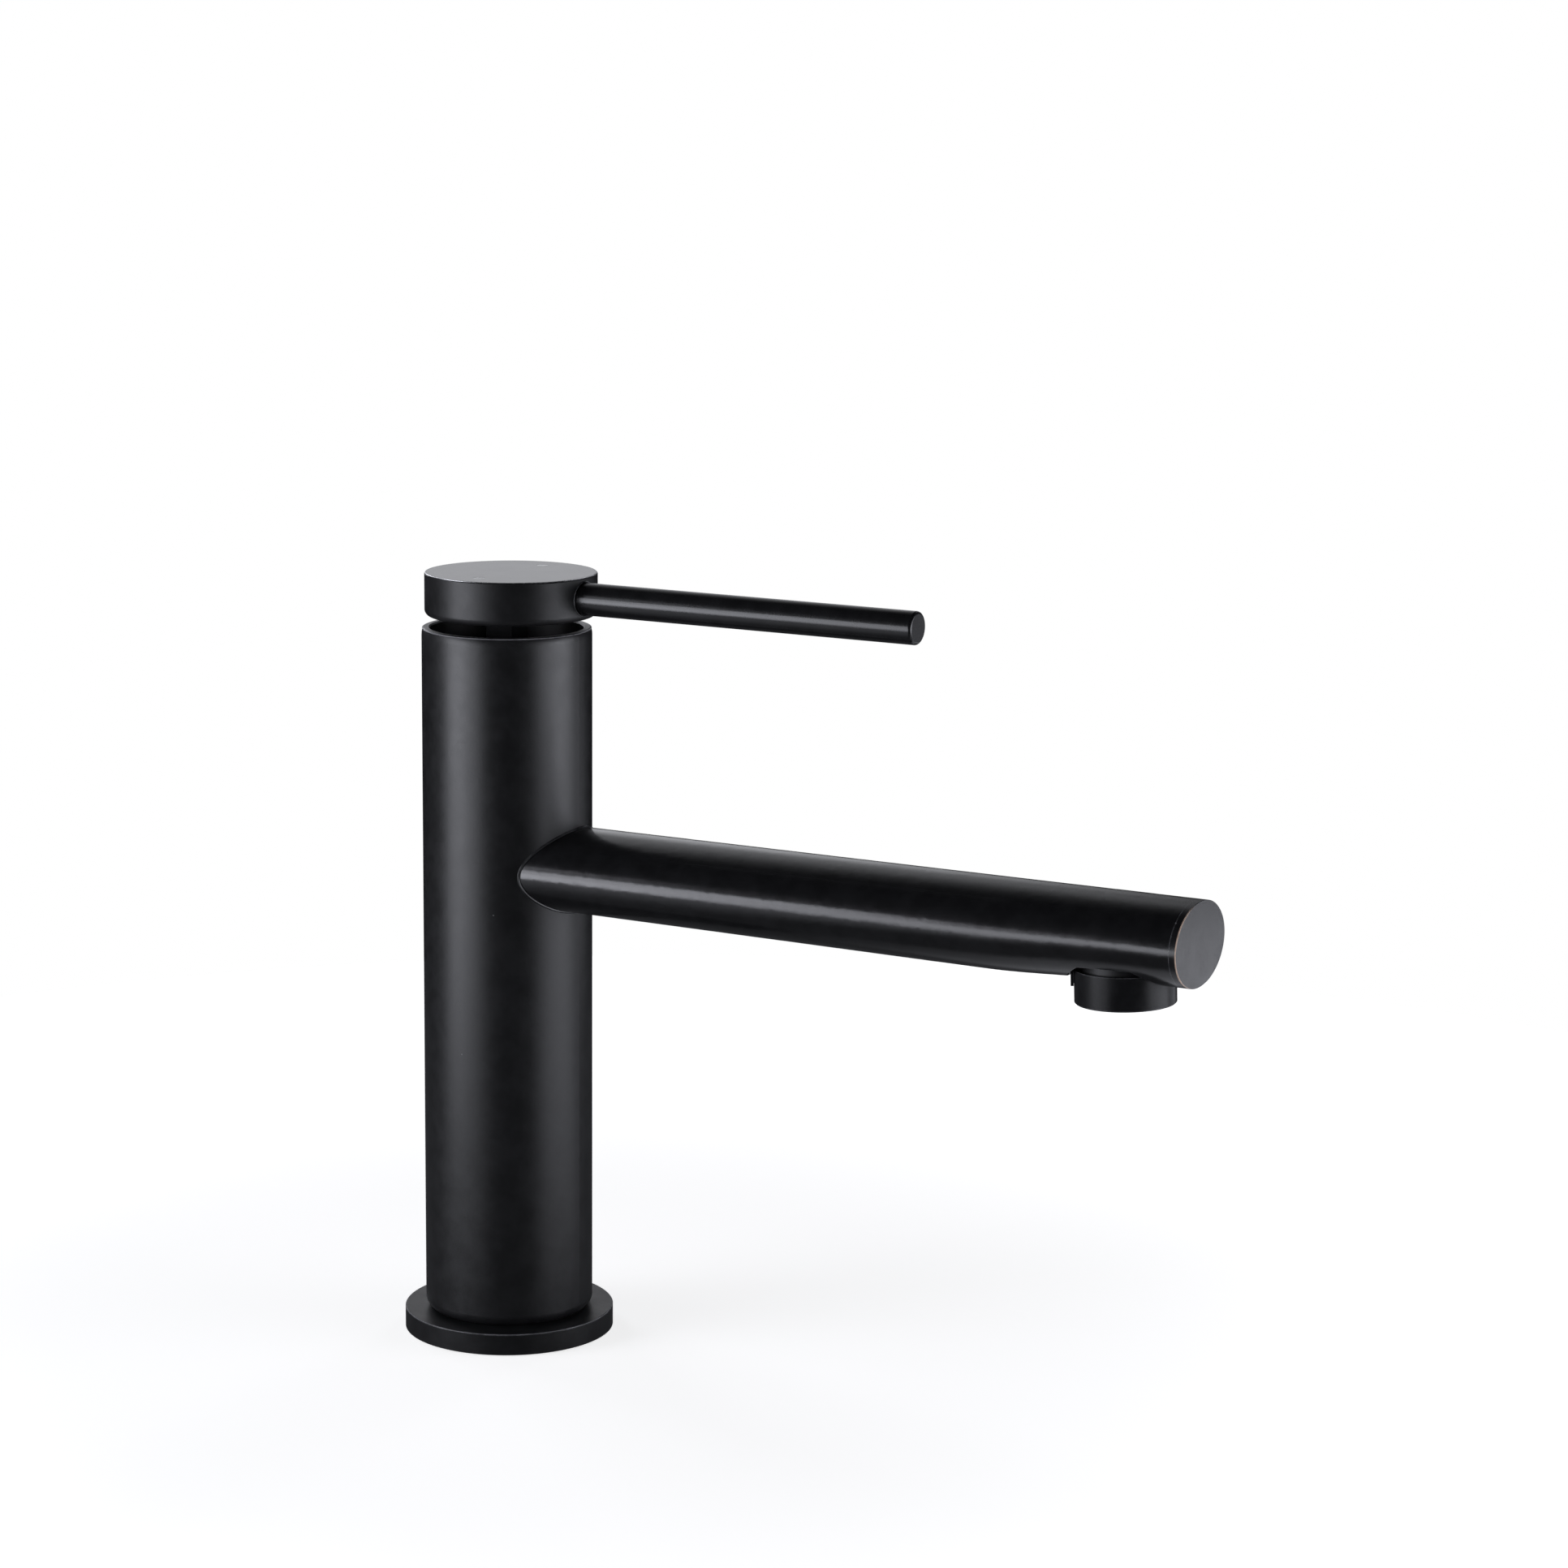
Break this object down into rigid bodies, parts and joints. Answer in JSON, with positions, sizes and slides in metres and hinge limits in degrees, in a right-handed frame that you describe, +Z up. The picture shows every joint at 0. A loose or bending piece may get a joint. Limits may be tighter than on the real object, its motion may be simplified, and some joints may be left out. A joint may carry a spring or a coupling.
{
  "type": "single-lever basin mixer faucet",
  "caption": "Slim round basin mixer: upright body on a deck flange, horizontal oval spout with a round outlet, flat cap handle with a pin lever over a ceramic-disc cartridge.",
  "frame": {"origin": "centre of the deck face, on the body's axis", "axes": "+Z up the body, +X along the spout, +Y to the cold side"},
  "size_m": [0.2025, 0.05, 0.183],
  "materials": {
    "black_finish": "satin",
    "brass": "satin",
    "black_plastic": "matte",
    "seal_rubber": "matte",
    "cartridge_plastic": "matte",
    "disc_ceramic": "satin",
    "steel": "satin",
    "dot_inlay": "satin"
  },
  "bodies": {
    "fixed_body": {"base_flange": "black_finish", "base_gasket": "seal_rubber", "flange_oring": "seal_rubber", "mixer_body": "black_finish", "spout_tube": "black_finish", "spout_end_plate": "black_finish", "outlet_collar": "black_finish", "aerator_housing": "black_finish", "aerator_insert": "cartridge_plastic", "aerator_screen": "steel", "aerator_washer": "seal_rubber", "cartridge_base": "cartridge_plastic", "cartridge_seals": "seal_rubber", "fixed_disc": "disc_ceramic", "cartridge_housing": "cartridge_plastic", "cartridge_nut": "brass", "dust_ring": "black_plastic"},
    "turret": {"stem_guide": "cartridge_plastic", "stem_pin": "steel"},
    "disc_slide": {"disc_carrier": "cartridge_plastic", "moving_disc": "disc_ceramic"},
    "handle": {"lever_stem": "steel", "handle_cap": "black_finish", "lever_rod": "black_finish", "grub_screw": "steel", "hot_dot": "dot_inlay", "cold_dot": "dot_inlay"}
  },
  "joints": [
    {"name": "temperature", "type": "hinge", "parent": "fixed_body", "child": "turret", "pos_m": [0, 0, 0.15], "axis": [0, 0, 1], "range_deg": [-45, 45]},
    {"name": "flow", "type": "hinge", "parent": "turret", "child": "handle", "pos_m": [0, 0, 0.15], "axis": [0, -1, 0], "range_deg": [0, 25]},
    {"name": "disc_travel", "type": "slide", "parent": "turret", "child": "disc_slide", "axis": [1, 0, 0], "range_m": [0, 0.00338]}
  ],
  "couplings": [
    {"joint": "disc_travel", "follows": "flow", "m_per_rad": 0.0077486}
  ]
}
